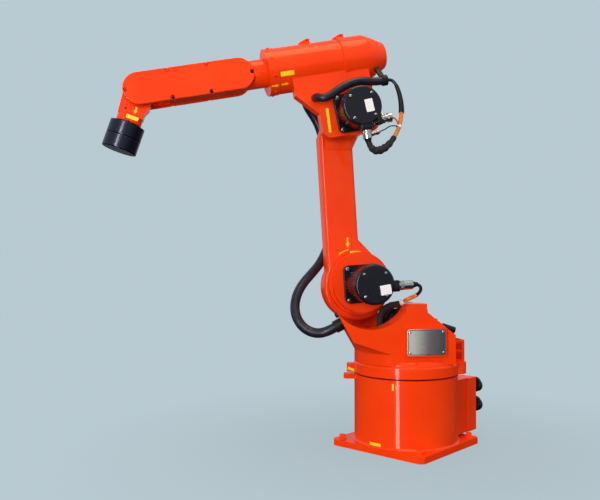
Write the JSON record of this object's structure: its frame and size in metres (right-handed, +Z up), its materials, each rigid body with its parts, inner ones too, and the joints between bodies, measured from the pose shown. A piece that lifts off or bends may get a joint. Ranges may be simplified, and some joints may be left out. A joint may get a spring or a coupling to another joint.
{
  "type": "six-axis industrial robot arm",
  "caption": "Floor-mounted articulated factory robot: drum base, swivelling column, lower arm, elbow with roll tube, forked wrist and a pair of black tool discs.",
  "frame": {"origin": "on the swivel axis at the underside of the foot plate, the centre of the foot bolts", "axes": "+X to the front of the base, opposite the connector box; +Y to its left; +Z up"},
  "size_m": [1.0689, 0.7561, 1.3117],
  "materials": {
    "orange_enamel": "glossy orange-red enamel on cast aluminium and iron",
    "black_motor_paint": "glossy black motor paint",
    "black_oxide_steel": "turned steel, black oxide",
    "black_nylon": "moulded black nylon",
    "black_conduit": "smooth black jacketed hose",
    "bare_steel": "machined steel",
    "nickel_plate": "nickel-plated plug shells",
    "brushed_plate": "brushed aluminium plate, left bare"
  },
  "bodies": {
    "base": {"base_casting": "orange_enamel", "connector_box": "orange_enamel", "power_connector": "black_nylon", "signal_connector": "black_nylon", "swivel_reducer": "bare_steel"},
    "column": {"column_casting": "orange_enamel", "rating_plate": "brushed_plate", "swivel_motor": "black_motor_paint", "swivel_motor_connectors": "black_motor_paint", "rear_guard": "orange_enamel", "shoulder_reducer": "bare_steel", "conduit_gland": "black_nylon", "sealing_plug": "black_nylon"},
    "lower_arm": {"lower_arm_casting": "orange_enamel", "shoulder_motor_flange": "black_motor_paint", "shoulder_motor": "black_motor_paint", "shoulder_motor_cap": "black_motor_paint", "shoulder_motor_connectors": "nickel_plate", "elbow_reducer": "bare_steel", "conduit_clamp_lower": "black_nylon", "conduit_clamp_upper": "black_nylon", "conduit_run": "black_conduit", "conduit_loop": "black_conduit", "shoulder_lead": "black_conduit"},
    "elbow": {"elbow_housing": "orange_enamel", "rear_cover": "orange_enamel", "lifting_lugs": "orange_enamel", "elbow_motor_flange": "black_motor_paint", "elbow_motor": "black_motor_paint", "elbow_motor_cap": "black_motor_paint", "elbow_motor_connectors": "nickel_plate", "elbow_gland": "black_nylon", "hose_clamp": "black_nylon", "conduit_elbow_loop": "black_conduit", "elbow_hose": "black_conduit", "motor_lead": "black_conduit"},
    "forearm": {"forearm_casting": "orange_enamel", "near_cover": "orange_enamel", "far_cover": "orange_enamel"},
    "wrist": {"wrist_housing": "orange_enamel"},
    "tool": {"tool_disc_upper": "black_oxide_steel", "tool_disc_lower": "black_oxide_steel"}
  },
  "joints": [
    {"name": "swivel", "type": "hinge", "parent": "base", "child": "column", "pos_m": [0, 0, 0], "axis": [0, 0, 1], "range_deg": [-165, 165]},
    {"name": "shoulder", "type": "hinge", "parent": "column", "child": "lower_arm", "pos_m": [0.12621, -0.09169, 0.518], "axis": [0.5878, 0.809, 0], "range_deg": [-75, 90], "deforming": ["conduit_loop", "shoulder_lead"]},
    {"name": "elbow_lift", "type": "hinge", "parent": "lower_arm", "child": "elbow", "pos_m": [0.15338, -0.11144, 1.05194], "axis": [-0.5878, -0.809, 0], "range_deg": [-65, 95], "deforming": ["conduit_elbow_loop"]},
    {"name": "forearm_roll", "type": "hinge", "parent": "elbow", "child": "forearm", "pos_m": [0.18145, -0.13183, 1.22245], "axis": [0.7928, -0.576, -0.1994], "range_deg": [-170, 170]},
    {"name": "wrist_bend", "type": "hinge", "parent": "forearm", "child": "wrist", "pos_m": [0.6809, -0.4947, 1.09685], "axis": [0.5878, 0.809, 0], "range_deg": [-180, 60]},
    {"name": "tool_turn", "type": "hinge", "parent": "wrist", "child": "tool", "pos_m": [0.6809, -0.4947, 1.09685], "axis": [0.2567, -0.1865, -0.9483], "range_deg": [-360, 360]}
  ]
}
